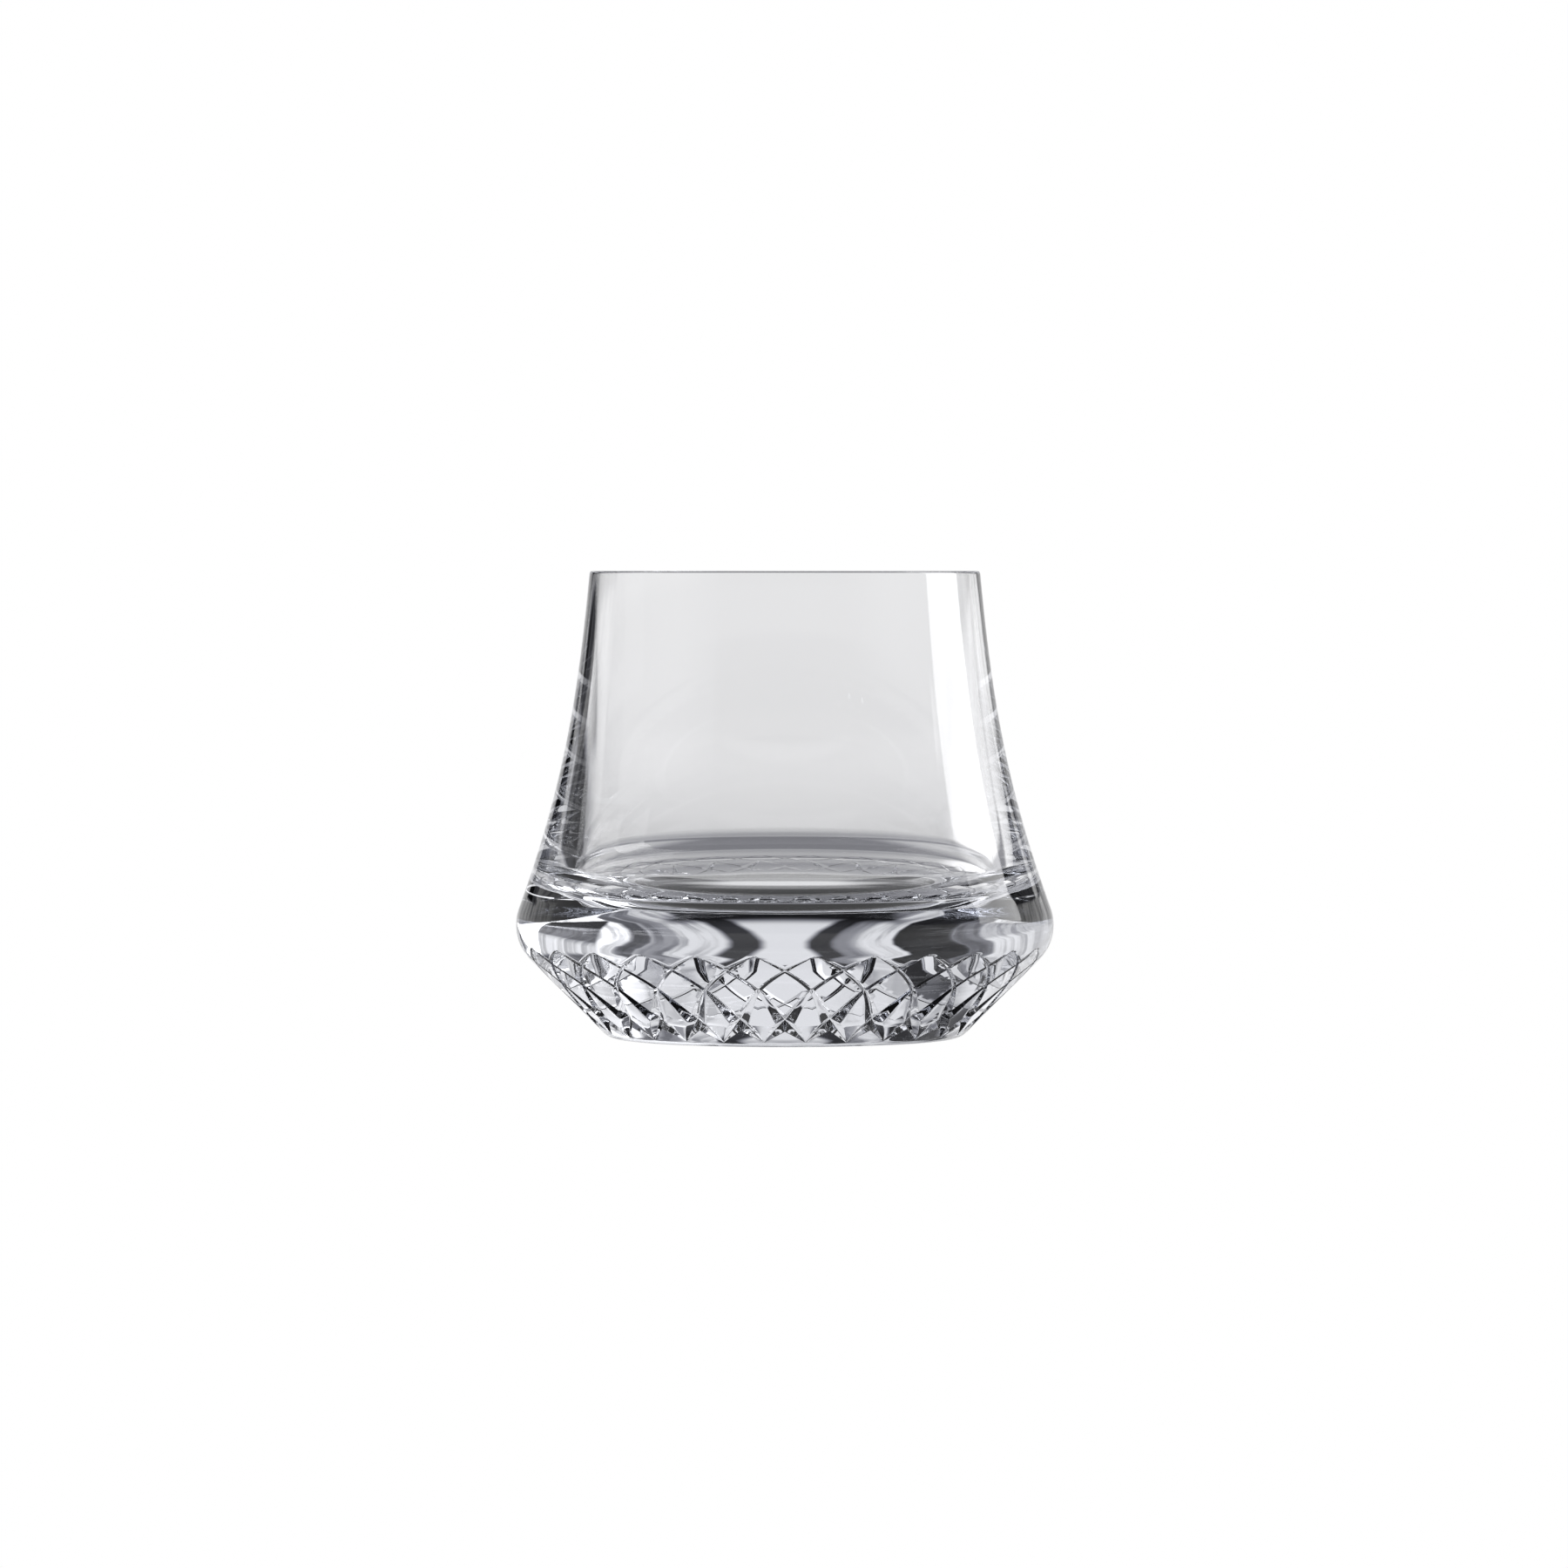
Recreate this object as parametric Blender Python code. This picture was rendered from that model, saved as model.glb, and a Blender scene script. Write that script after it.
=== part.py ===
"""Cut-crystal whiskey tumbler, one solid piece of clear glass standing on its foot.

The tumbler is centred on the Z axis and rests on Z = 0. Everything is in metres.
From the foot up: a flat polished foot, a 45 degree cone, a round belly and a wall that
sweeps in to the rim. Two mirrored families of V-shaped cuts cross on the cone and leave
rows of diamond lands between them. Inside, a straight-sided well stops high above the
foot, so the bottom is a thick lens of glass.
"""
import math

import bmesh
import bpy
from mathutils import Vector

MM = 0.001

# Overall size
HEIGHT = 85.0 * MM
RIM_RADIUS = 35.6 * MM
BELLY_RADIUS = 49.0 * MM

# Outside
BELLY_HEIGHT = 20.6 * MM          # level of the widest point
BELLY_ROUNDING = 9.0 * MM         # radius of the arc around the belly
BELLY_LEAN = math.radians(20.0)   # lean of the wall where it leaves the belly
CONE_SLOPE = math.radians(45.0)   # slope of the cone under the belly
FOOT_ROUNDING = 3.0 * MM
RIM_LEAN = math.radians(5.4)      # lean of the outside wall at the rim
SWEEP_LOW = 24.0 * MM             # reach of the sweep's lower handle
SWEEP_HIGH = 22.0 * MM            # reach of the sweep's upper handle

# Inside
RIM_THICKNESS = 1.0 * MM
FLOOR_HEIGHT = 23.5 * MM
WELL_RADIUS = 38.7 * MM           # where wall and floor would meet without the corner
WELL_ROUNDING = 6.0 * MM
WELL_LEAN = math.radians(7.0)     # lean of the inside wall above the corner
WELL_HANDLE_HIGH = 20.0 * MM
WELL_HANDLE_LOW = 18.0 * MM

# Cut pattern: cuts start at the peaks, cross on three levels and run out at the tips
CUTS = 28                         # cuts in each of the two families
PEAK_HEIGHT = 17.1 * MM
CROSSING_HEIGHTS = (14.3 * MM, 10.6 * MM, 4.5 * MM)
CUT_HALF_WIDTHS = (0.36 * MM, 0.45 * MM, 1.4 * MM)    # at the three crossings
TIP_HEIGHT = 0.9 * MM
LEVEL_HEIGHTS = (PEAK_HEIGHT,) + CROSSING_HEIGHTS + (TIP_HEIGHT,)
CUT_DEPTH_TO_WIDTH = 0.8          # depth of a cut over its half width

# Mesh resolution
SIDES_PER_CUT = 4
SIDES = CUTS * SIDES_PER_CUT
HALF_STEP = math.pi / CUTS        # angle between neighbouring crossings on two levels
FOOT_STEPS = 3
BELLY_STEPS = 5
OUTSIDE_STEPS = 9
LIP_STEPS = 4
INSIDE_STEPS = 5
CORNER_STEPS = 5
CREASE = math.radians(25.0)       # edges sharper than this stay crisp


def arc(centre, radius, start, end, count):
    """Points (r, z) on an arc, from angle start to angle end."""
    points = []
    for index in range(count + 1):
        angle = start + (end - start) * index / count
        points.append((centre[0] + radius * math.cos(angle), centre[1] + radius * math.sin(angle)))
    return points


def sweep(start, start_handle, end_handle, end, count):
    """Points (r, z) inside a cubic Bezier curve, without its two ends."""
    points = []
    for index in range(1, count):
        t = index / count
        weights = ((1 - t) ** 3, 3 * t * (1 - t) ** 2, 3 * t * t * (1 - t), t ** 3)
        knots = (start, start_handle, end_handle, end)
        points.append(tuple(sum(w * knot[axis] for w, knot in zip(weights, knots)) for axis in (0, 1)))
    return points


def belly_centre():
    return (BELLY_RADIUS - BELLY_ROUNDING, BELLY_HEIGHT)


def foot_edge_radius():
    """Radius where the cone would reach Z = 0 without the rounding of the foot."""
    centre = belly_centre()
    start_radius = centre[0] + BELLY_ROUNDING * math.cos(CONE_SLOPE)
    start_height = centre[1] - BELLY_ROUNDING * math.sin(CONE_SLOPE)
    return start_radius - start_height / math.tan(CONE_SLOPE)


def cone_radius(height):
    """Outside radius on the cone and on the lower half of the belly arc."""
    centre = belly_centre()
    if height > centre[1] - BELLY_ROUNDING * math.sin(CONE_SLOPE):
        return centre[0] + math.sqrt(BELLY_ROUNDING ** 2 - (height - centre[1]) ** 2)
    return foot_edge_radius() + height / math.tan(CONE_SLOPE)


def foot_profile():
    """Outside profile from the flat foot up to the level of the tips."""
    flat_radius = foot_edge_radius() - FOOT_ROUNDING * math.tan(CONE_SLOPE / 2)
    rounding = arc((flat_radius, FOOT_ROUNDING), FOOT_ROUNDING, -math.pi / 2, -CONE_SLOPE, FOOT_STEPS)
    return rounding[:-1]


def wall_profile():
    """Outside from just above the peaks, over the rim and down the well to its corner."""
    centre = belly_centre()
    peak_angle = math.asin((PEAK_HEIGHT - centre[1]) / BELLY_ROUNDING)
    profile = arc(centre, BELLY_ROUNDING, peak_angle, BELLY_LEAN, BELLY_STEPS)[1:]

    lip_radius = RIM_THICKNESS / 2
    rim = (RIM_RADIUS, HEIGHT - lip_radius)
    belly_top = profile[-1]
    low_handle = (belly_top[0] - SWEEP_LOW * math.sin(BELLY_LEAN),
                  belly_top[1] + SWEEP_LOW * math.cos(BELLY_LEAN))
    high_handle = (rim[0] + SWEEP_HIGH * math.sin(RIM_LEAN), rim[1] - SWEEP_HIGH * math.cos(RIM_LEAN))
    profile += sweep(belly_top, low_handle, high_handle, rim, OUTSIDE_STEPS)
    profile += arc((RIM_RADIUS - lip_radius, HEIGHT - lip_radius), lip_radius, 0, math.pi, LIP_STEPS)

    lip_inside = profile[-1]
    corner = (WELL_RADIUS - WELL_ROUNDING, FLOOR_HEIGHT + WELL_ROUNDING)
    rounding = arc(corner, WELL_ROUNDING, WELL_LEAN, -math.pi / 2, CORNER_STEPS)
    wall_end = rounding[0]
    high_handle = (lip_inside[0], lip_inside[1] - WELL_HANDLE_HIGH)
    low_handle = (wall_end[0] - WELL_HANDLE_LOW * math.sin(WELL_LEAN),
                  wall_end[1] + WELL_HANDLE_LOW * math.cos(WELL_LEAN))
    profile += sweep(lip_inside, high_handle, low_handle, wall_end, INSIDE_STEPS)
    return profile + rounding


def ring(mesh, radius, height):
    """One level circle of vertices."""
    vertices = []
    for side in range(SIDES):
        angle = side * 2 * math.pi / SIDES
        vertices.append(mesh.verts.new((radius * math.sin(angle), -radius * math.cos(angle), height)))
    return vertices


def skin(mesh, lower, upper):
    """Quads between two circles; the outward side follows the profile's direction."""
    for side in range(SIDES):
        following = (side + 1) % SIDES
        mesh.faces.new((lower[side], lower[following], upper[following], upper[side]))


def on_surface(step, height, depth=0.0):
    """Point on the cone, step half steps round from the front, sunk in by depth."""
    radius = cone_radius(height) - depth * math.sin(CONE_SLOPE)
    angle = step * HALF_STEP
    sunk = height + depth * math.cos(CONE_SLOPE)
    return Vector((radius * math.sin(angle), -radius * math.cos(angle), sunk))


def crossing(mesh, level, step):
    """The five vertices where two cuts cross: the sunk middle and the four land corners."""
    height = LEVEL_HEIGHTS[level]
    half_width = CUT_HALF_WIDTHS[level - 1]
    slant = (LEVEL_HEIGHTS[level - 1] - LEVEL_HEIGHTS[level + 1]) / 2 / math.sin(CONE_SLOPE)
    lean = math.atan2(cone_radius(height) * HALF_STEP, slant)
    along = half_width / math.sin(lean) * math.sin(CONE_SLOPE)
    around = half_width / math.cos(lean) / (cone_radius(height) * HALF_STEP)
    depth = half_width * CUT_DEPTH_TO_WIDTH
    return {
        "middle": mesh.verts.new(on_surface(step, height, depth)),
        "top": mesh.verts.new(on_surface(step, height + along)),
        "bottom": mesh.verts.new(on_surface(step, height - along)),
        "left": mesh.verts.new(on_surface(step - around, height)),
        "right": mesh.verts.new(on_surface(step + around, height)),
    }


def cut_band(mesh, tip_ring, peak_ring):
    """Lands and cut flanks between the circle of the tips and the circle of the peaks."""
    last_level = len(CROSSING_HEIGHTS) + 1
    steps = 2 * CUTS
    nodes = {}
    for level in range(last_level + 1):
        for step in range((level + 1) % 2, steps, 2):
            if level in (0, last_level):
                end_ring = peak_ring if level == 0 else tip_ring
                end = end_ring[step * SIDES_PER_CUT // 2]
                nodes[level, step] = dict.fromkeys(("middle", "top", "bottom", "left", "right"), end)
            else:
                nodes[level, step] = crossing(mesh, level, step)

    def node(level, step):
        return nodes[level, step % steps]

    def face(*vertices):
        distinct = list(dict.fromkeys(vertices))
        if len(distinct) > 2:
            mesh.faces.new(distinct)

    for level in range(1, last_level):
        for step in range(level % 2, steps, 2):
            top = node(level - 1, step)["bottom"]
            bottom = node(level + 1, step)["top"]
            left = node(level, step - 1)["right"]
            right = node(level, step + 1)["left"]
            crown = mesh.verts.new(on_surface(step, LEVEL_HEIGHTS[level]))
            for one, other in ((top, left), (left, bottom), (bottom, right), (right, top)):
                face(crown, one, other)

    for level in range(last_level):
        for step in range((level + 1) % 2, steps, 2):
            start = node(level, step)
            for turn, near, far in ((-1, "left", "right"), (1, "right", "left")):
                end = node(level + 1, step + turn)
                outer = (start["middle"], start[near], end["top"], end["middle"])
                inner = (start["bottom"], start["middle"], end["middle"], end[far])
                face(*(outer if turn < 0 else outer[::-1]))
                face(*(inner if turn < 0 else inner[::-1]))

    quarter = SIDES_PER_CUT // 2
    for step in range(0, steps, 2):
        below_peaks = node(1, step)["top"]
        above_tips = node(last_level - 1, step)["bottom"]
        for side in range((step - 1) * quarter, (step + 1) * quarter):
            following = (side + 1) % SIDES
            face(below_peaks, peak_ring[following], peak_ring[side])
            face(above_tips, tip_ring[side % SIDES], tip_ring[following])


def glass_material():
    """Clear lead-free crystal, very slightly grey in the thick base."""
    material = bpy.data.materials.new("clear_crystal")
    material.use_nodes = True
    shader = material.node_tree.nodes["Principled BSDF"]
    shader.inputs["Base Color"].default_value = (0.93, 0.94, 0.95, 1.0)
    shader.inputs["Metallic"].default_value = 0.0
    shader.inputs["Roughness"].default_value = 0.02
    shader.inputs["IOR"].default_value = 1.52
    shader.inputs["Transmission Weight"].default_value = 1.0
    return material


def glass_body():
    mesh = bmesh.new()
    foot = [ring(mesh, radius, height) for radius, height in foot_profile()]
    tip_ring = ring(mesh, cone_radius(TIP_HEIGHT), TIP_HEIGHT)
    peak_ring = ring(mesh, cone_radius(PEAK_HEIGHT), PEAK_HEIGHT)
    wall = [ring(mesh, radius, height) for radius, height in wall_profile()]

    mesh.faces.new(foot[0][::-1])
    for lower, upper in zip(foot + [tip_ring], (foot + [tip_ring])[1:]):
        skin(mesh, lower, upper)
    cut_band(mesh, tip_ring, peak_ring)
    for lower, upper in zip([peak_ring] + wall, wall):
        skin(mesh, lower, upper)
    mesh.faces.new(wall[-1])

    for face in mesh.faces:
        face.smooth = True
    for edge in mesh.edges:
        if edge.calc_face_angle(0.0) > CREASE:
            edge.smooth = False
    data = bpy.data.meshes.new("glass_body")
    mesh.to_mesh(data)
    mesh.free()
    body = bpy.data.objects.new("glass_body", data)
    body.data.materials.append(glass_material())
    bpy.context.scene.collection.objects.link(body)
    return body


for existing in list(bpy.data.objects):
    bpy.data.objects.remove(existing)
glass_body()
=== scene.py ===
"""Looks of the cut-crystal whiskey tumbler: the fine glass body, its material and the studio.

Everything is in metres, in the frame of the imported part: the tumbler stands on Z = 0 around
the Z axis, and the camera looks along +Y.
"""
import math

import bmesh
import bpy
import numpy as np
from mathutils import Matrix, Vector


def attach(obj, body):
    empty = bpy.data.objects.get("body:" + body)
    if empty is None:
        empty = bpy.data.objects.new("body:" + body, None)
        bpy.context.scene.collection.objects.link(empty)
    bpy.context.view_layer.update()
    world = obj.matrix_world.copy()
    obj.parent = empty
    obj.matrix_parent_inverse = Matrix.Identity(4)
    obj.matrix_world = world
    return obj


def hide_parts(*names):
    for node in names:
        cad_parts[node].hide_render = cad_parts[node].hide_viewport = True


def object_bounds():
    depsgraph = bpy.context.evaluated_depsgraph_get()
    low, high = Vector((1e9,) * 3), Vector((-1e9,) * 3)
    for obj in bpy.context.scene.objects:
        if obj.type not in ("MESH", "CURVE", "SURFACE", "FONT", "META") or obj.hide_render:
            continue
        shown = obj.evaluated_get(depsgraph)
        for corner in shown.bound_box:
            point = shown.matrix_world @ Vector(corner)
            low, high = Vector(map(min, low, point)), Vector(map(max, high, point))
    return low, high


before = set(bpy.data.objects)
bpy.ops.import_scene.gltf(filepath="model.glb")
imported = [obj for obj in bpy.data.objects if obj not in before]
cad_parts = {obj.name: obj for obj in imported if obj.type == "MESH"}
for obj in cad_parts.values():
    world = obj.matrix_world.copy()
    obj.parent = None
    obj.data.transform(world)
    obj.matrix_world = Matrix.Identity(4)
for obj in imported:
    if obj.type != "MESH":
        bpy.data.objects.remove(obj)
cad_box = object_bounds()

MM = 0.001

# The part's own dimensions, taken from the frame or repeated from the part
HEIGHT = cad_box[1][2]
BELLY_RADIUS = 49.0 * MM
RIM_RADIUS = 35.6 * MM
BELLY_HEIGHT = 20.6 * MM
BELLY_ROUNDING = 9.0 * MM
BELLY_LEAN = math.radians(20.0)
CONE_SLOPE = math.radians(45.0)
FOOT_ROUNDING = 3.0 * MM
RIM_LEAN = math.radians(5.4)
SWEEP_LOW = 24.0 * MM
SWEEP_HIGH = 22.0 * MM
RIM_THICKNESS = 1.0 * MM
FLOOR_HEIGHT = 23.5 * MM
WELL_RADIUS = 38.7 * MM
WELL_ROUNDING = 6.0 * MM
WELL_LEAN = math.radians(7.0)
WELL_HANDLE_HIGH = 20.0 * MM
WELL_HANDLE_LOW = 18.0 * MM

CUTS = 28
LEVEL_HEIGHTS = (17.1 * MM, 14.3 * MM, 10.6 * MM, 4.5 * MM, 0.9 * MM)
CUT_HALF_WIDTHS = (0.05 * MM, 0.36 * MM, 0.45 * MM, 1.4 * MM, 0.05 * MM)
CUT_DEPTH_TO_WIDTH = 0.8
CUT_SOFTNESS = 0.08               # rounding of a cut's bottom and edges, over its half width
HALF_STEP = math.pi / CUTS        # angle between neighbouring crossings on two levels
LAST_LEVEL = len(LEVEL_HEIGHTS) - 1
LEVEL_STEP = 0.05                 # half of the step over which the drop of a level is taken
LEAST_SLOPE = 0.2                 # radians, where the cone's slope divides
FIRST_SHARE = 0.08                # first guess of a cut's share of the distance between cuts
SETTLING_ROUNDS = 12
FIRST_MIDDLE = 0.3                # level of the middle of the half lands at the peaks
LAST_MIDDLE = 3.6                 # and of those at the foot
LAND_BULGE = 0.15                 # how far the faces of the lands follow the curve of the cone

# Fineness of the mesh
CUT_LINES = (0.0, CUT_SOFTNESS, 0.5, 1 - CUT_SOFTNESS, 1.0, 1 + CUT_SOFTNESS)  # over the half width
LAND_PARTS = 8
CELL_PARTS = 2 * (len(CUT_LINES) - 1) + LAND_PARTS
SIDES = CUTS * CELL_PARTS
FOOT_RINGS = (0.25, 0.5, 0.75, 0.95)    # over the radius of the flat disc
WELL_RINGS = (0.9, 0.6, 0.3, 0.1)       # over the radius of the well's floor
FOOT_STEPS = 8
BELLY_STEPS = 14
OUTSIDE_STEPS = 28
OUTSIDE_CROWDING = 1.7
LIP_STEPS = 10
INSIDE_STEPS = 16
CORNER_STEPS = 14


def arc(centre, radius, start, end, count):
    """Points (r, z) on an arc, from angle start to angle end."""
    points = []
    for index in range(count + 1):
        angle = start + (end - start) * index / count
        points.append((centre[0] + radius * math.cos(angle), centre[1] + radius * math.sin(angle)))
    return points


def sweep(start, start_handle, end_handle, end, count, crowding=1.0):
    """Points (r, z) inside a cubic Bezier curve, without its two ends, crowded at its start."""
    points = []
    for index in range(1, count):
        t = (index / count) ** crowding
        weights = ((1 - t) ** 3, 3 * t * (1 - t) ** 2, 3 * t * t * (1 - t), t ** 3)
        knots = (start, start_handle, end_handle, end)
        points.append(tuple(sum(w * knot[axis] for w, knot in zip(weights, knots)) for axis in (0, 1)))
    return points


BELLY_CENTRE = (BELLY_RADIUS - BELLY_ROUNDING, BELLY_HEIGHT)
CONE_TOP = BELLY_HEIGHT - BELLY_ROUNDING * math.sin(CONE_SLOPE)
FOOT_EDGE = BELLY_CENTRE[0] + BELLY_ROUNDING * math.cos(CONE_SLOPE) - CONE_TOP / math.tan(CONE_SLOPE)


def cone_radius(height):
    """Outside radius on the cone and on the lower half of the belly arc."""
    if height > CONE_TOP:
        return BELLY_CENTRE[0] + math.sqrt(BELLY_ROUNDING ** 2 - (height - BELLY_HEIGHT) ** 2)
    return FOOT_EDGE + height / math.tan(CONE_SLOPE)


def cone_slope(height):
    """Angle of the outside surface below the level, on the cone and on the belly arc."""
    if height > CONE_TOP:
        return math.asin((BELLY_HEIGHT - height) / BELLY_ROUNDING)
    return CONE_SLOPE


def foot_profile():
    """Points (r, z) of the foot, from the middle of its flat disc to the start of the cone."""
    flat_radius = FOOT_EDGE - FOOT_ROUNDING * math.tan(CONE_SLOPE / 2)
    flat = [(flat_radius * share, 0.0) for share in FOOT_RINGS]
    centre = (flat_radius, FOOT_ROUNDING)
    return flat + arc(centre, FOOT_ROUNDING, -math.pi / 2, -CONE_SLOPE, FOOT_STEPS)[:-1]


def wall_profile():
    """Points (r, z) from the peaks of the cuts over the rim to the middle of the well's floor."""
    peak_angle = math.asin((LEVEL_HEIGHTS[0] - BELLY_HEIGHT) / BELLY_ROUNDING)
    profile = arc(BELLY_CENTRE, BELLY_ROUNDING, peak_angle, BELLY_LEAN, BELLY_STEPS)[1:]
    lip_radius = RIM_THICKNESS / 2
    rim = (RIM_RADIUS, HEIGHT - lip_radius)
    top = profile[-1]
    low_handle = (top[0] - SWEEP_LOW * math.sin(BELLY_LEAN), top[1] + SWEEP_LOW * math.cos(BELLY_LEAN))
    high_handle = (rim[0] + SWEEP_HIGH * math.sin(RIM_LEAN), rim[1] - SWEEP_HIGH * math.cos(RIM_LEAN))
    profile += sweep(top, low_handle, high_handle, rim, OUTSIDE_STEPS, OUTSIDE_CROWDING)
    profile += arc((RIM_RADIUS - lip_radius, HEIGHT - lip_radius), lip_radius, 0, math.pi, LIP_STEPS)

    lip_inside = profile[-1]
    corner = (WELL_RADIUS - WELL_ROUNDING, FLOOR_HEIGHT + WELL_ROUNDING)
    rounding = arc(corner, WELL_ROUNDING, WELL_LEAN, -math.pi / 2, CORNER_STEPS)
    wall_end = rounding[0]
    high_handle = (lip_inside[0], lip_inside[1] - WELL_HANDLE_HIGH)
    low_handle = (wall_end[0] - WELL_HANDLE_LOW * math.sin(WELL_LEAN),
                  wall_end[1] + WELL_HANDLE_LOW * math.cos(WELL_LEAN))
    profile += sweep(lip_inside, high_handle, low_handle, wall_end, INSIDE_STEPS) + rounding
    floor_radius = rounding[-1][0]
    return profile + [(floor_radius * share, FLOOR_HEIGHT) for share in WELL_RINGS]


def smooth_through(values, place):
    """Monotone cubic through values at 0, 1, 2 ..., read at place."""
    last = len(values) - 1
    rises = [values[i + 1] - values[i] for i in range(last)]
    slopes = [rises[0]]
    for low, high in zip(rises, rises[1:]):
        slopes.append(2 * low * high / (low + high) if low * high > 0 else 0.0)
    slopes.append(rises[-1])
    index = min(int(max(place, 0.0)), last - 1)
    t = place - index
    return (values[index] * (1 + 2 * t) * (1 - t) ** 2 + slopes[index] * t * (1 - t) ** 2
            + values[index + 1] * t * t * (3 - 2 * t) + slopes[index + 1] * t * t * (t - 1))


def level_height(level):
    """Height at a level; 0 is that of the peaks and LAST_LEVEL that of the tips."""
    return smooth_through(LEVEL_HEIGHTS, level)


def cut_half_width(level):
    """Half width of a cut at a level, never quite nothing."""
    return max(smooth_through(CUT_HALF_WIDTHS, level), min(CUT_HALF_WIDTHS))


def cut_share(level):
    """Half width of a cut as a share of the distance between parallel cuts."""
    height = level_height(level)
    radius = cone_radius(height)
    drop = (level_height(level - LEVEL_STEP) - level_height(level + LEVEL_STEP)) / (2 * LEVEL_STEP)
    slant = drop / math.sin(max(cone_slope(height), LEAST_SLOPE))
    lean = math.atan2(radius * HALF_STEP, slant)
    return cut_half_width(level) / (2 * HALF_STEP * radius * math.cos(lean))


def across(line, share):
    """Position of a mesh line between two parallel cuts, 0 at one and 1 at the other."""
    lines = len(CUT_LINES) - 1
    if line <= lines:
        return CUT_LINES[line] * share
    if line >= CELL_PARTS - lines:
        return 1 - CUT_LINES[CELL_PARTS - line] * share
    edge = CUT_LINES[-1] * share
    return edge + (1 - 2 * edge) * (line - lines) / LAND_PARTS


def cut_depth(position, share):
    """Depth as a share of the full depth, at a position between two cuts."""
    distance = min(position, 1 - position) / share
    if distance >= 1 + CUT_SOFTNESS:
        return 0.0
    if distance > 1 - CUT_SOFTNESS:
        return (1 + CUT_SOFTNESS - distance) ** 2 / (4 * CUT_SOFTNESS)
    if distance < CUT_SOFTNESS:
        return 1 - CUT_SOFTNESS / 2 - distance * distance / (2 * CUT_SOFTNESS)
    return 1 - distance


def cell_point(column, row, right_line, left_line):
    """Surface point of the cell between two cuts of each family.

    column counts the cuts that lean right and row the cuts that lean left. The width of a cut
    depends on the level and the level on the width, so a few rounds settle them.
    """
    share = FIRST_SHARE
    for _ in range(SETTLING_ROUNDS):
        right = across(right_line, share)
        left = across(left_line, share)
        level = min(max(row + left - column - right, 0.0), LAST_LEVEL)
        share = cut_share(level)
    turn = (column + right + row + left + 1) * HALF_STEP
    height = level_height(level)
    depth = max(cut_depth(right, share), cut_depth(left, share))
    depth *= cut_half_width(level) * CUT_DEPTH_TO_WIDTH
    slope = cone_slope(height)
    radius = cone_radius(height) - depth * math.cos(slope)
    point = Vector((radius * math.sin(turn), -radius * math.cos(turn), height + depth * math.sin(slope)))
    middle = (column + row + 2) * HALF_STEP
    middle_level = min(max(row - column, FIRST_MIDDLE), LAST_MIDDLE)
    middle_slope = cone_slope(level_height(middle_level))
    facing = middle + LAND_BULGE * (turn - middle)
    lean = middle_slope + LAND_BULGE * (slope - middle_slope)
    if row == column:
        facing = turn
        lean = -belly_shine(height, -math.cos(turn))
    land = Vector((math.sin(facing) * math.cos(lean), -math.cos(facing) * math.cos(lean), -math.sin(lean)))
    return point, land if depth == 0.0 else None


def ring_angles():
    """Angles of the mesh lines at the level of the peaks, and evenly spread ones."""
    share = cut_share(0.0)
    cut = [(2 * (side // CELL_PARTS + across(side % CELL_PARTS, share)) + 1) * HALF_STEP
           for side in range(SIDES)]
    even = [(2 * side / CELL_PARTS + 1) * HALF_STEP for side in range(SIDES)]
    return cut, even


def ring(mesh, radius, height, angles):
    """Level ring of vertices around the axis."""
    return [mesh.verts.new((radius * math.sin(a), -radius * math.cos(a), height)) for a in angles]


def skin(mesh, lower, upper):
    """Band of faces between two rings."""
    for side in range(SIDES):
        following = (side + 1) % SIDES
        mesh.faces.new((lower[side], lower[following], upper[following], upper[side]))


def cut_band(mesh, peak_ring, tip_ring):
    """Lands and cuts between the level of the peaks and the level of the tips."""
    made = {}
    lands = {}

    def vertex(column, row, right_line, left_line):
        if right_line == CELL_PARTS:
            column, right_line = column + 1, 0
        if left_line == CELL_PARTS:
            row, left_line = row + 1, 0
        gap = row - column
        if gap == 0 and right_line == left_line:
            return peak_ring[(column * CELL_PARTS + right_line) % SIDES]
        if gap == LAST_LEVEL and right_line == left_line:
            return tip_ring[((column + LAST_LEVEL // 2) * CELL_PARTS + right_line) % SIDES]
        key = (column % CUTS, gap, right_line, left_line)
        if key not in made:
            point, land = cell_point(column % CUTS, column % CUTS + gap, right_line, left_line)
            made[key] = mesh.verts.new(point)
            if land:
                lands[made[key]] = land
        return made[key]

    for column in range(CUTS):
        for gap in range(LAST_LEVEL + 1):
            row = column + gap
            for i in range(CELL_PARTS):
                for j in range(CELL_PARTS):
                    if gap == 0 and j < i or gap == LAST_LEVEL and j > i:
                        continue
                    corners = [(i, j), (i + 1, j), (i + 1, j + 1), (i, j + 1)]
                    if i == j and gap == 0:
                        corners.remove((i + 1, j))
                    if i == j and gap == LAST_LEVEL:
                        corners.remove((i, j + 1))
                    vertices = [vertex(column, row, a, b) for a, b in corners]
                    if i == j and 0 < gap < LAST_LEVEL:
                        mesh.faces.new((vertices[0], vertices[1], vertices[2]))
                        mesh.faces.new((vertices[0], vertices[2], vertices[3]))
                    else:
                        mesh.faces.new(vertices)
    return lands


GLASS_INDEX = 1.52
GLASS_TINT = (0.92, 0.94, 1.0, 1.0)
GLASS_TINT_DENSITY = 8.0          # per metre


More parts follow.
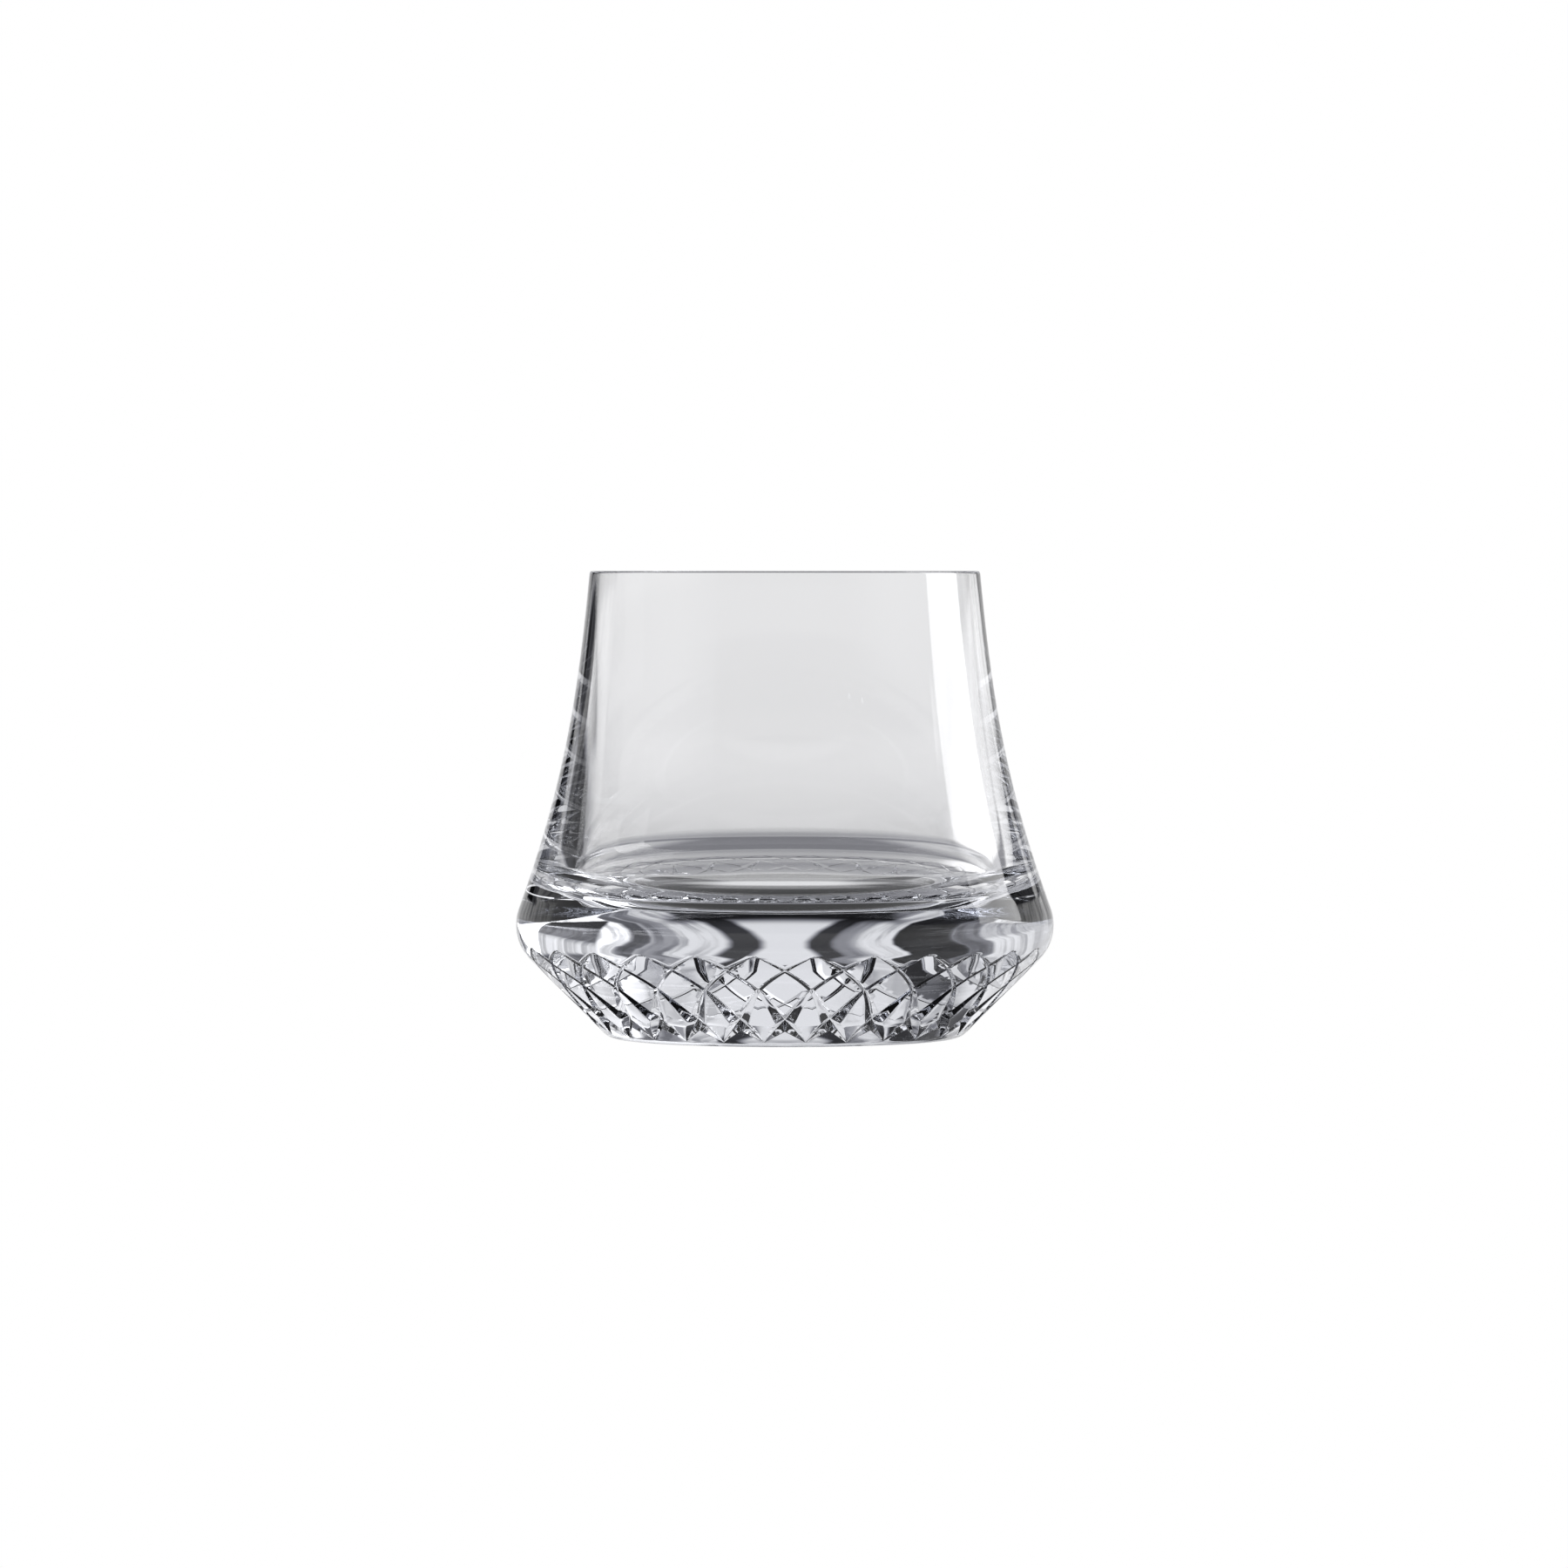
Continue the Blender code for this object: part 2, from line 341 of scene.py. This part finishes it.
def glass_material():
    material = bpy.data.materials.new("clear_crystal")
    material.use_nodes = True
    nodes = material.node_tree.nodes
    shader = nodes["Principled BSDF"]
    shader.inputs["Base Color"].default_value = (1.0, 1.0, 1.0, 1.0)
    shader.inputs["Roughness"].default_value = 0.0
    shader.inputs["IOR"].default_value = GLASS_INDEX
    shader.inputs["Transmission Weight"].default_value = 1.0
    tint = nodes.new("ShaderNodeVolumeAbsorption")
    tint.inputs["Color"].default_value = GLASS_TINT
    tint.inputs["Density"].default_value = GLASS_TINT_DENSITY
    material.node_tree.links.new(tint.outputs[0], nodes["Material Output"].inputs["Volume"])
    return material


# Lean of the polished belly's shading normals, (height in mm, degrees): the near half, which
# faces -Y, and the far half. Between them they blend over SHINE_BLEND of the radius either side.
NEAR_SHINE = ((17.0, -12.5), (26.0, 10.0), (26.3, 20.0))
FAR_SHINE = ((17.0, -44.0), (17.6, -43.0), (18.0, -39.2), (18.6, -35.0), (19.3, -28.5),
             (20.1, -18.0), (21.0, -7.5), (21.5, -2.0), (26.3, 20.0))
SHINE_BLEND = 0.25
OUTER_SKIN = 0.9                  # vertices beyond this share of the belly's radius are outside


def shine_lean(table, height):
    """Lean in radians at a height in metres, read from a table of lean by height."""
    heights = [level * MM for level, lean in table]
    leans = [math.radians(lean) for level, lean in table]
    return float(np.interp(height, heights, leans))


def belly_shine(height, depth):
    """Lean of the polished surface at a height on the belly; depth is -1 in front, 1 behind."""
    near = shine_lean(NEAR_SHINE, height)
    behind = min(max(depth / (2 * SHINE_BLEND) + 0.5, 0.0), 1.0)
    behind *= behind * (3 - 2 * behind)
    return near + behind * (shine_lean(FAR_SHINE, height) - near)


def shine(data, lands):
    """Vertex normals weighted by face area, and those of the polished lands and belly."""
    normals = np.zeros((len(data.vertices), 3))
    for face in data.polygons:
        weighted = np.array(face.normal) * face.area
        for index in face.vertices:
            normals[index] += weighted
    normals /= np.linalg.norm(normals, axis=1)[:, None]
    for index, land in lands.items():
        normals[index] = land
    low = NEAR_SHINE[0][0] * MM
    high = NEAR_SHINE[-1][0] * MM
    for vertex in data.vertices:
        x, y, height = vertex.co
        radius = math.hypot(x, y)
        if low < height < high and radius > OUTER_SKIN * BELLY_RADIUS:
            lean = belly_shine(height, y / radius)
            normals[vertex.index] = (x / radius * math.cos(lean), y / radius * math.cos(lean), math.sin(lean))
    data.normals_split_custom_set_from_vertices(normals)


def glass_body():
    """Fine mesh of the whole tumbler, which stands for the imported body."""
    mesh = bmesh.new()
    cut_angles, even_angles = ring_angles()
    foot = [ring(mesh, radius, height, even_angles) for radius, height in foot_profile()]
    tip_ring = ring(mesh, cone_radius(LEVEL_HEIGHTS[-1]), LEVEL_HEIGHTS[-1], cut_angles)
    peak_ring = ring(mesh, cone_radius(LEVEL_HEIGHTS[0]), LEVEL_HEIGHTS[0], cut_angles)
    wall = [ring(mesh, radius, height, even_angles) for radius, height in wall_profile()]

    mesh.faces.new(foot[0][::-1])
    for lower, upper in zip(foot, foot[1:] + [tip_ring]):
        skin(mesh, lower, upper)
    lands = cut_band(mesh, peak_ring, tip_ring)
    for lower, upper in zip([peak_ring] + wall, wall):
        skin(mesh, lower, upper)
    mesh.faces.new(wall[-1])
    bmesh.ops.recalc_face_normals(mesh, faces=mesh.faces)
    for face in mesh.faces:
        face.smooth = True
    mesh.verts.index_update()
    lands = {vertex.index: land for vertex, land in lands.items()}
    data = bpy.data.meshes.new("tumbler_glass")
    mesh.to_mesh(data)
    mesh.free()
    shine(data, lands)
    body = bpy.data.objects.new("tumbler_glass", data)
    body.data.materials.append(glass_material())
    bpy.context.scene.collection.objects.link(body)
    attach(body, "root")
    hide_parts("glass_body")
    return body


# A long lens level with the rim, tilted down a little, so the rim is seen edge on
CAMERA_SIDESTEP = -0.16 * MM
CAMERA_DISTANCE = 1.45
CAMERA_TILT = math.radians(1.5333)
CAMERA_REACH = 50.0
LENS = 182.68                     # mm, on a sensor 36 mm wide
SENSOR = 36.0


def add_camera():
    data = bpy.data.cameras.new("camera")
    data.sensor_width = SENSOR
    data.lens = LENS
    data.clip_end = CAMERA_REACH
    camera = bpy.data.objects.new("camera", data)
    camera.location = (CAMERA_SIDESTEP, -CAMERA_DISTANCE, HEIGHT)
    camera.rotation_euler = (math.pi / 2 - CAMERA_TILT, 0.0, 0.0)
    bpy.context.scene.collection.objects.link(camera)
    bpy.context.scene.camera = camera


def new_material(name):
    material = bpy.data.materials.new(name)
    material.use_nodes = True
    material.node_tree.nodes.clear()
    return material, material.node_tree.nodes, material.node_tree.links


class Graph:
    """Short ways to lay shader nodes."""

    def __init__(self, nodes, links):
        self.nodes = nodes
        self.links = links

    def feed(self, socket, value):
        """Set a socket to a number, or link another node's output to it."""
        if isinstance(value, (int, float)):
            socket.default_value = value
        else:
            self.links.new(value, socket)

    def math(self, operation, *values):
        node = self.nodes.new("ShaderNodeMath")
        node.operation = operation
        for socket, value in zip(node.inputs, values):
            self.feed(socket, value)
        return node.outputs[0]

    def step(self, value, start, end, low=0.0, high=1.0):
        """Smooth step from low to high as value goes from start to end."""
        node = self.nodes.new("ShaderNodeMapRange")
        node.interpolation_type = "SMOOTHSTEP"
        self.feed(node.inputs["Value"], value)
        for name, number in (("From Min", start), ("From Max", end), ("To Min", low), ("To Max", high)):
            node.inputs[name].default_value = number
        return node.outputs[0]

    def mix(self, share, one, other):
        """One value where share is 0 and the other where it is 1."""
        node = self.nodes.new("ShaderNodeMix")
        node.data_type = "FLOAT"
        self.feed(node.inputs[0], share)
        self.feed(node.inputs[2], one)
        self.feed(node.inputs[3], other)
        return node.outputs[0]

    def window(self, value, low, high, soft):
        """1 where value lies between low and high, with soft edges."""
        rise = self.step(value, low - soft / 2, low + soft / 2)
        fall = self.step(value, high - soft / 2, high + soft / 2, 1.0, 0.0)
        return self.math("MULTIPLY", rise, fall)

    def curve(self, value, points):
        """Straight lines from point to point, (value, result), level before and after."""
        result = points[0][1]
        for (start, low), (end, high) in zip(points, points[1:]):
            part = self.nodes.new("ShaderNodeMapRange")
            part.inputs["From Min"].default_value = start
            part.inputs["From Max"].default_value = end
            part.inputs["To Max"].default_value = high - low
            self.links.new(value, part.inputs["Value"])
            result = self.math("ADD", result, part.outputs[0])
        return result

    def place(self, name):
        """Coordinates X, Y, Z of a texture coordinate output."""
        source = self.nodes.new("ShaderNodeTexCoord")
        split = self.nodes.new("ShaderNodeSeparateXYZ")
        self.links.new(source.outputs[name], split.inputs[0])
        return split.outputs[0], split.outputs[1], split.outputs[2]

    def noise(self, x, y, scale, detail):
        """Noise over two coordinates, about 0.5 on average."""
        join = self.nodes.new("ShaderNodeCombineXYZ")
        self.feed(join.inputs[0], x)
        self.feed(join.inputs[1], y)
        node = self.nodes.new("ShaderNodeTexNoise")
        node.inputs["Scale"].default_value = scale
        node.inputs["Detail"].default_value = detail
        self.links.new(join.outputs[0], node.inputs["Vector"])
        return node.outputs[0]


WHITE = (1.0, 1.0, 1.0, 1.0)
FLOOR_RADIUS = 12.0
FLOOR_DROP = 0.02 * MM            # gap between the foot and the shaded disc, and on to the floor
DISC_SIDES = 64

# Painted shadow and painted glow under the foot, which the glass shows: an emissive disc, dark at the front
# as a painted shadow of the tumbler on the table, with an oval painted pool of light in the middle
FOOT_SHADE_RADIUS = 30.0 * MM
FOOT_SHADE = (0.06, 0.22)         # radiance in front and behind
FOOT_SHADE_FADE = (-22.0 * MM, 10.0 * MM)
FOOT_GLOW = (18.0 * MM, 5.0 * MM)
FOOT_GLOW_FADE = (0.3, 1.7)       # squared distance over the oval's own radius
FOOT_GLOW_LIGHT = 0.9


def emission(nodes):
    """White emission shader that goes straight to the material's output."""
    glow = nodes.new("ShaderNodeEmission")
    glow.inputs["Color"].default_value = WHITE
    output = nodes.new("ShaderNodeOutputMaterial")
    nodes.id_data.links.new(glow.outputs[0], output.inputs["Surface"])
    return glow


def disc(name, radius, height, material):
    """Level disc for the stage, not part of the tumbler."""
    mesh = bmesh.new()
    bmesh.ops.create_circle(mesh, cap_ends=True, radius=radius, segments=DISC_SIDES)
    data = bpy.data.meshes.new(name)
    mesh.to_mesh(data)
    mesh.free()
    shape = bpy.data.objects.new(name, data)
    shape.location = (0.0, 0.0, height)
    shape.data.materials.append(material)
    bpy.context.scene.collection.objects.link(shape)
    return shape


def add_floor():
    """Pale floor that only the camera sees, and under the foot an emissive disc with a painted shadow and a
    painted pool of light, seen through the glass.
    """
    material, nodes, _ = new_material("floor")
    emission(nodes)
    floor = disc("floor", FLOOR_RADIUS, -2 * FLOOR_DROP, material)
    for rays in ("diffuse", "glossy", "transmission", "volume_scatter", "shadow"):
        setattr(floor, "visible_" + rays, False)

    # Emissive disc under the foot: a painted shadow, darker at the front, and an oval painted pool of light
    material, nodes, links = new_material("foot_shade")
    graph = Graph(nodes, links)
    x, y, _ = graph.place("Object")
    across = graph.math("DIVIDE", x, FOOT_GLOW[0])
    along = graph.math("DIVIDE", y, FOOT_GLOW[1])
    oval = graph.math("ADD", graph.math("MULTIPLY", across, across), graph.math("MULTIPLY", along, along))
    # painted shadow: dark at the front, lighter behind
    shade = graph.step(y, *FOOT_SHADE_FADE, *FOOT_SHADE)
    # oval painted pool of light in the middle of the painted shadow
    light = graph.mix(graph.step(oval, *FOOT_GLOW_FADE), FOOT_GLOW_LIGHT, shade)
    links.new(light, emission(nodes).inputs["Strength"])
    disc("foot_shade", FOOT_SHADE_RADIUS, -FLOOR_DROP, material)


# Light of the floor by the angle below the horizon: (degrees, radiance)
FLOOR_LIGHT = (
    (0.0, 0.92), (6.0, 0.92), (9.0, 0.88), (11.0, 0.84), (13.0, 0.78), (15.0, 0.70), (19.0, 0.57),
    (22.0, 0.44), (25.0, 0.40), (26.5, 0.46), (28.0, 0.26), (30.0, 0.25), (31.5, 0.50), (33.0, 0.60),
    (36.0, 0.52), (46.0, 0.34), (55.0, 0.30), (70.0, 0.20), (90.0, 0.20),
)
FLOOR_TO_DARK = (-8.0, 8.0)       # elevations over which the floor gives way to the dark room
# The studio round the tumbler. Each zone is laid over the ones before it:
# name: (azimuth low, high, elevation low, high, softness, radiance), in degrees.
# Azimuth 0 is +Y, straight behind the tumbler, and 90 is +X.
ZONES = {
    "room": (-185, 185, -1, 27, 6.0, 0.15),
    "left wall": (-140, -34, -6, 20, 3.0, 0.5),
    "horizon": (-60, 60, -9, 8, 2.0, 0.85),
    "backdrop": (-60, 60, 7, 31, 2.0, 0.55),
    "left side floor": (-185, -38, -42, -20, 6.0, 0.75),
    "right side floor": (38, 185, -42, -20, 6.0, 0.75),
    "right floor": (11, 36, -26, -4, 5.0, 1.2),
    "right far floor": (36, 60, -26, -13, 5.0, 0.35),
    "right low light": (38, 80, -14, 4, 2.0, 1.1),
    "right dim wall": (33, 62, 5, 14, 2.0, 0.2),
    "right flag wall": (33, 62, 14, 22, 2.0, 0.015),
    "right softbox": (33, 84, 22, 50, 1.5, 2.6),
    "left floor shade": (-32, -17, -18, -7, 8.0, 0.5),
    "left floor flag": (-60, -26, -18, -8, 4.0, 0.01),
    "left low flag": (-36, -18, -10, -3, 2.0, 0.03),
    "right strip": (25, 33, -9, 31, 1.5, 1.3),
    "right side softbox": (58, 88, -2, 21, 1.5, 4.0),
    "left softbox": (-90, -46, 20, 42, 3.0, 1.2),
}
# The same for the softboxes' screen and its flags, whose sides move outwards by SPREAD
SPREAD_ZONES = {
    "screen": (-32, 25, 4.2, 31, 1.5, 0.8),
    "left flag": (-28, -16, 2.0, 31, 1.0, 0.015),
    "left shade": (-35, -27.5, 2.0, 31, 2.0, 0.2),
    "right flag": (20.5, 24.5, 4.2, 31, 1.5, 0.12),
    "right shade": (15.5, 20.5, 4.2, 31, 1.0, 0.35),
    "left fold": (-10, -6, 4.2, 31, 3.0, 0.28),
    "left border": (-6.7, -2.8, 4.2, 31, 1.7, 0.03),
    "right border": (2.8, 7.8, 4.2, 31, 1.9, 0.035),
}
# (elevation, degrees of azimuth)
SPREAD = ((0.0, 6.0), (4.5, 4.5), (6.2, 2.0), (8.5, 0.3), (10.5, 0.3), (15.0, 2.0), (19.0, 5.0),
          (22.0, 10.0), (26.0, 15.0), (40.0, 20.0))
LEVEL_SOFTNESS = 2.0              # softness of the lower and upper edges of the zones
# Dark ceiling over the screen: it starts between the first two elevations, ends between the
# others and fades between two azimuths
CEILING_ELEVATION = (17.5, 20.5, 44.0, 48.0)
CEILING_AZIMUTH = (17.0, 22.0)
# Folds in the side curtains: noise per degree of azimuth and of elevation
STREAKS = (0.4, 0.06)
STREAK_DETAIL = 3.0
STREAK_CONTRAST = (0.35, 0.6)
STREAK_DEPTH = 0.5
STREAK_AZIMUTH = (10.0, 58.0, 8.0)
STREAK_ELEVATION = (-5.0, 0.0)
# The room in front of the tumbler is dimmer, apart from its floor
FRONT_AZIMUTH = (110.0, 150.0)
FRONT_FLOOR = (-30.0, -7.0)
FRONT_LIGHT = 0.4
DARK = 0.01
FULL_LIGHT = 0.7                  # radiance from which light has its own tint
DARK_TINT = (0.88, 0.89, 1.0, 1.0)
LIGHT_TINT = (0.99, 0.99, 1.0, 1.0)


def lay_zones(graph, light, azimuth, elevation, zones):
    """Light with each zone's radiance laid over it in turn."""
    for left, right, bottom, top, soft, radiance in zones:
        wide = graph.window(azimuth, left, right, soft)
        tall = graph.window(elevation, bottom, top, LEVEL_SOFTNESS)
        light = graph.mix(graph.math("MULTIPLY", wide, tall), light, radiance)
    return light


def dark_ceiling(graph, turn, elevation):
    """Share of the dark ceiling in a direction."""
    low, high, end, gone = CEILING_ELEVATION
    begun = graph.step(elevation, low, high)
    left = graph.step(elevation, end, gone, 1.0, 0.0)
    overhead = graph.step(turn, *CEILING_AZIMUTH, 1.0, 0.0)
    return graph.math("MULTIPLY", graph.math("MULTIPLY", begun, left), overhead)


def curtain_folds(graph, turn, spread, elevation):
    """Factor on the light that draws streaks on the side curtains."""
    across = graph.math("MULTIPLY", spread, STREAKS[0])
    along = graph.math("MULTIPLY", elevation, STREAKS[1])
    folds = graph.noise(across, along, 1.0, STREAK_DETAIL)
    streak = graph.step(folds, *STREAK_CONTRAST, 1.0 - STREAK_DEPTH, 1.0)
    beside = graph.window(turn, *STREAK_AZIMUTH)
    above_floor = graph.step(elevation, *STREAK_ELEVATION)
    return graph.mix(graph.math("MULTIPLY", beside, above_floor), 1.0, streak)


def front_room(graph, turn, elevation):
    """Factor on the light that dims the front of the room."""
    dim = graph.step(turn, *FRONT_AZIMUTH, 1.0, FRONT_LIGHT)
    return graph.mix(graph.window(elevation, *FRONT_FLOOR, LEVEL_SOFTNESS), dim, 1.0)


def studio_light(graph):
    """Radiance of the studio by direction."""
    x, y, z = graph.place("Generated")
    azimuth = graph.math("DEGREES", graph.math("ARCTAN2", x, y))
    elevation = graph.math("DEGREES", graph.math("ARCSINE", z))
    floor = graph.curve(graph.math("MULTIPLY", elevation, -1.0), FLOOR_LIGHT)
    light = graph.mix(graph.step(elevation, *FLOOR_TO_DARK), floor, DARK)
    light = lay_zones(graph, light, azimuth, elevation, ZONES.values())
    turn = graph.math("ABSOLUTE", azimuth)
    shift = graph.curve(elevation, SPREAD)
    spread = graph.math("MAXIMUM", graph.math("SUBTRACT", turn, shift), 0.0)
    spread = graph.math("MULTIPLY", spread, graph.math("SIGN", azimuth))
    light = lay_zones(graph, light, spread, elevation, SPREAD_ZONES.values())
    light = graph.mix(dark_ceiling(graph, turn, elevation), light, DARK)
    light = graph.math("MULTIPLY", light, curtain_folds(graph, turn, spread, elevation))
    return graph.math("MULTIPLY", light, front_room(graph, turn, elevation))


def studio_world():
    """World that lights the glass with the studio and shows the camera plain white."""
    world = bpy.data.worlds.new("studio")
    bpy.context.scene.world = world
    world.use_nodes = True
    nodes = world.node_tree.nodes
    links = world.node_tree.links
    nodes.clear()
    graph = Graph(nodes, links)
    light = studio_light(graph)
    tint = nodes.new("ShaderNodeMix")
    tint.data_type = "RGBA"
    tint.inputs[6].default_value = DARK_TINT
    tint.inputs[7].default_value = LIGHT_TINT
    links.new(graph.step(light, 0.0, FULL_LIGHT), tint.inputs[0])
    studio = nodes.new("ShaderNodeBackground")
    links.new(tint.outputs[2], studio.inputs["Color"])
    links.new(light, studio.inputs["Strength"])
    plain = nodes.new("ShaderNodeBackground")
    plain.inputs["Color"].default_value = WHITE
    path = nodes.new("ShaderNodeLightPath")
    mix = nodes.new("ShaderNodeMixShader")
    links.new(path.outputs["Is Camera Ray"], mix.inputs[0])
    links.new(studio.outputs[0], mix.inputs[1])
    links.new(plain.outputs[0], mix.inputs[2])
    output = nodes.new("ShaderNodeOutputWorld")
    links.new(mix.outputs[0], output.inputs["Surface"])


# Light crosses the glass many times, in the cuts above all
TRANSMISSION_BOUNCES = 24
GLOSSY_BOUNCES = 12

glass_body()
add_camera()
add_floor()
studio_world()

scene = bpy.context.scene
scene.view_settings.view_transform = "Standard"
scene.cycles.use_denoising = True
scene.cycles.max_bounces = TRANSMISSION_BOUNCES
scene.cycles.transmission_bounces = TRANSMISSION_BOUNCES
scene.cycles.glossy_bounces = GLOSSY_BOUNCES
